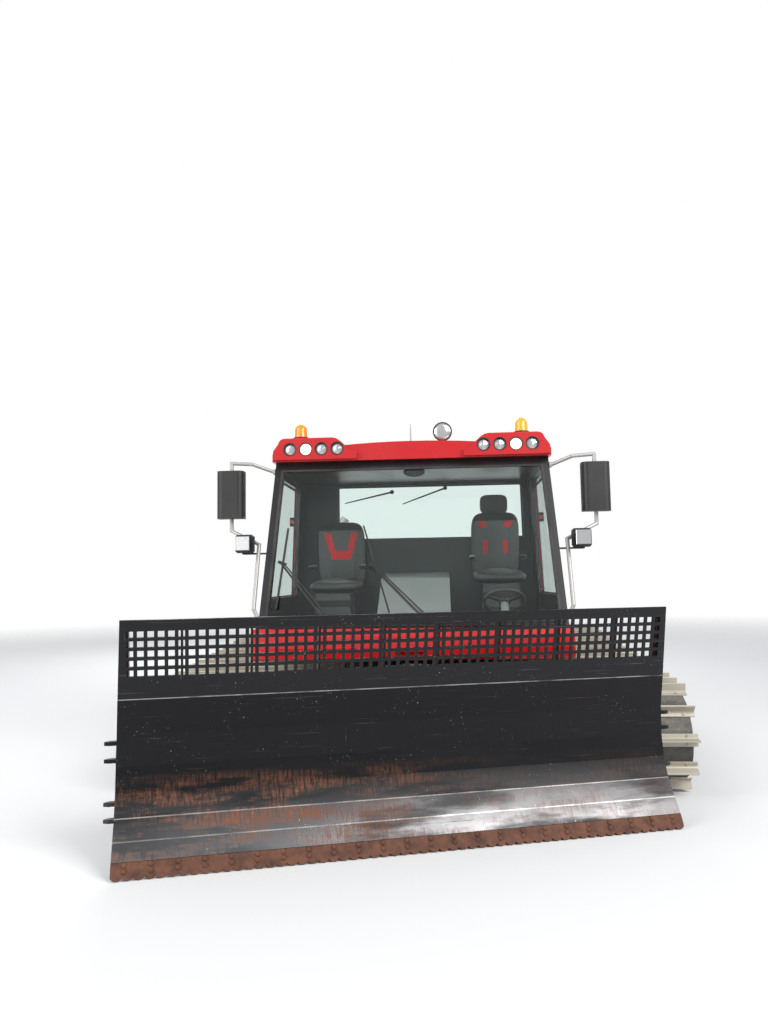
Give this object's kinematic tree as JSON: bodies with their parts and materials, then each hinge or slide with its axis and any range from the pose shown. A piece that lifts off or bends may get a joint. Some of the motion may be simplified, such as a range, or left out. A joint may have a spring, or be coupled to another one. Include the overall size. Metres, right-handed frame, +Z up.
{
  "type": "tracked snow groomer with front blade and rear tiller",
  "caption": "Tracked snow groomer with a glazed red cab over wide belt tracks, an angling front blade with a see-through top screen and a lifting rear tiller.",
  "frame": {"origin": "ground level, midway between the tracks and midway along the whole machine", "axes": "+X to the driver's left seen from the seat looking forward, -Y forward, +Z up"},
  "size_m": [4.2, 8.4928, 3.0526],
  "materials": {
    "red_paint": "gloss red paint, lightly dusty",
    "black_frame": "satin black paint",
    "blade_paint": "black paint worn to bright steel with rust streaks",
    "edge_steel": "worn wear steel with orange rust",
    "track_set": "beige-grey aluminium bars on black rubber belts",
    "wheel_set": "rubber tyres on black steel discs",
    "grey_steel": "dark grey machine paint",
    "glass": "clear safety glass",
    "seat_trim": "black and grey cloth with red inserts",
    "plastic_grey": "grained grey plastic",
    "plastic_black": "grained black plastic",
    "tube_silver": "silver-grey paint on steel tube",
    "mirror_glass": "black housing with mirror glass",
    "lamp_lens": "clear lens over a bright reflector",
    "amber_lens": "amber lens",
    "lamp_chrome": "bright plated lamp shell",
    "red_lens": "red lens",
    "exhaust_steel": "heat-tinted steel",
    "rod_chrome": "hard chrome",
    "hose_rubber": "black braided hose",
    "comb_plastic": "black flexible plastic"
  },
  "bodies": {
    "chassis": {"chassis": "black_frame", "front_grille": "black_frame", "front_panel": "red_paint", "cowl": "plastic_black", "track_left": "track_set", "track_right": "track_set", "road_wheels_left": "wheel_set", "road_wheels_right": "wheel_set", "idlers": "wheel_set", "sprockets": "grey_steel", "axles": "black_frame", "cab_frame": "black_frame", "roof": "red_paint", "windscreen": "glass", "rear_window": "glass", "seat_driver": "seat_trim", "seat_passenger": "seat_trim", "console": "plastic_grey", "steering_wheel": "plastic_black", "wipers": "plastic_black", "mirror_arms": "tube_silver", "mirror_heads": "mirror_glass", "side_lamps": "plastic_black", "roof_lamps": "lamp_lens", "beacons": "amber_lens", "search_lamp": "lamp_chrome", "engine": "grey_steel", "engine_housing": "black_frame", "load_deck": "black_frame", "exhaust": "exhaust_steel", "tail_lamps": "red_lens"},
    "door_left": {"door_left": "red_paint", "door_glass_left": "glass"},
    "door_right": {"door_right": "red_paint", "door_glass_right": "glass"},
    "lid": {"engine_lid": "red_paint"},
    "blade_lift_frame": {"push_frame": "black_frame", "hoses": "hose_rubber"},
    "lift_barrel": {"lift_barrel": "black_frame"},
    "lift_rod": {"lift_rod": "rod_chrome"},
    "blade": {"blade_board": "blade_paint", "blade_screen": "blade_paint", "cutting_edge": "edge_steel"},
    "swing_barrel_left": {"swing_barrels_left": "black_frame"},
    "swing_rod_left": {"swing_rod_left": "rod_chrome"},
    "swing_barrel_right": {"swing_barrels_right": "black_frame"},
    "swing_rod_right": {"swing_rod_right": "rod_chrome"},
    "tiller": {"tiller_frame": "black_frame", "tiller_hood": "red_paint", "finishing_comb": "comb_plastic"},
    "rotor": {"tiller_rotor": "grey_steel"},
    "tiller_barrel": {"tiller_barrel": "black_frame"},
    "tiller_rod": {"tiller_rod": "rod_chrome"}
  },
  "joints": [
    {"name": "blade_lift", "type": "hinge", "parent": "chassis", "child": "blade_lift_frame", "pos_m": [0, -2.29, 0.48], "axis": [1, 0, 0], "range_deg": [-18, 3]},
    {"name": "blade_swing", "type": "hinge", "parent": "blade_lift_frame", "child": "blade", "pos_m": [0, -3.43, 0.485], "axis": [0, 0, 1], "range_deg": [-38, 5]},
    {"name": "tiller_lift", "type": "hinge", "parent": "chassis", "child": "tiller", "pos_m": [0, 1.7, 0.52], "axis": [1, 0, 0], "range_deg": [0, 28]},
    {"name": "rotor_spin", "type": "hinge", "parent": "tiller", "child": "rotor", "pos_m": [0, 3.12, 0.255], "axis": [1, 0, 0], "continuous": true},
    {"name": "door_left_hinge", "type": "hinge", "parent": "chassis", "child": "door_left", "pos_m": [1.282, -0.62, 1.7], "axis": [0, 0, 1], "range_deg": [0, 78]},
    {"name": "door_right_hinge", "type": "hinge", "parent": "chassis", "child": "door_right", "pos_m": [-1.282, -0.62, 1.7], "axis": [0, 0, -1], "range_deg": [0, 78]},
    {"name": "lid_hinge", "type": "hinge", "parent": "chassis", "child": "lid", "pos_m": [0, -0.318, 1.572], "axis": [1, 0, 0], "range_deg": [0, 60]},
    {"name": "lift_barrel_hinge", "type": "hinge", "parent": "chassis", "child": "lift_barrel", "pos_m": [0, -2.17, 0.905], "axis": [1, 0, 0], "range_deg": [-14.04, 2.36]},
    {"name": "lift_rod_slide", "type": "slide", "parent": "lift_barrel", "child": "lift_rod", "axis": [0, -0.9575, -0.2883], "range_m": [-0.12527, 0.02129]},
    {"name": "tiller_barrel_hinge", "type": "hinge", "parent": "chassis", "child": "tiller_barrel", "pos_m": [0, 1.69, 0.9], "axis": [1, 0, 0], "range_deg": [-0.02, 26.95]},
    {"name": "tiller_rod_slide", "type": "slide", "parent": "tiller_barrel", "child": "tiller_rod", "axis": [0, 0.9625, -0.2711], "range_m": [-0.18403, 0.0005]},
    {"name": "swing_barrel_left_hinge", "type": "hinge", "parent": "blade_lift_frame", "child": "swing_barrel_left", "pos_m": [0.56, -2.51, 0.485], "axis": [0, 0, 1], "range_deg": [-0.129, 0.85]},
    {"name": "swing_rod_left_slide", "type": "slide", "parent": "swing_barrel_left", "child": "swing_rod_left", "axis": [0.0358, -0.9994, 0], "range_m": [-0.05367, 0.40457]},
    {"name": "swing_barrel_right_hinge", "type": "hinge", "parent": "blade_lift_frame", "child": "swing_barrel_right", "pos_m": [-0.56, -2.51, 0.485], "axis": [0, 0, 1], "range_deg": [-0.02, 0.022]},
    {"name": "swing_rod_right_slide", "type": "slide", "parent": "swing_barrel_right", "child": "swing_rod_right", "axis": [-0.04, -0.9992, 0], "range_m": [-0.40386, 0.05357]}
  ],
  "couplings": [
    {"joint": "lift_barrel_hinge", "follows": "blade_lift", "ratio": 0.77879},
    {"joint": "lift_rod_slide", "follows": "blade_lift", "m_per_rad": 0.39714},
    {"joint": "tiller_barrel_hinge", "follows": "tiller_lift", "ratio": 0.96162},
    {"joint": "tiller_rod_slide", "follows": "tiller_lift", "m_per_rad": -0.37556},
    {"joint": "swing_barrel_left_hinge", "follows": "blade_swing", "ratio": -0.02183},
    {"joint": "swing_rod_left_slide", "follows": "blade_swing", "m_per_rad": -0.60924},
    {"joint": "swing_barrel_right_hinge", "follows": "blade_swing", "ratio": -0.00004},
    {"joint": "swing_rod_right_slide", "follows": "blade_swing", "m_per_rad": 0.60817}
  ]
}
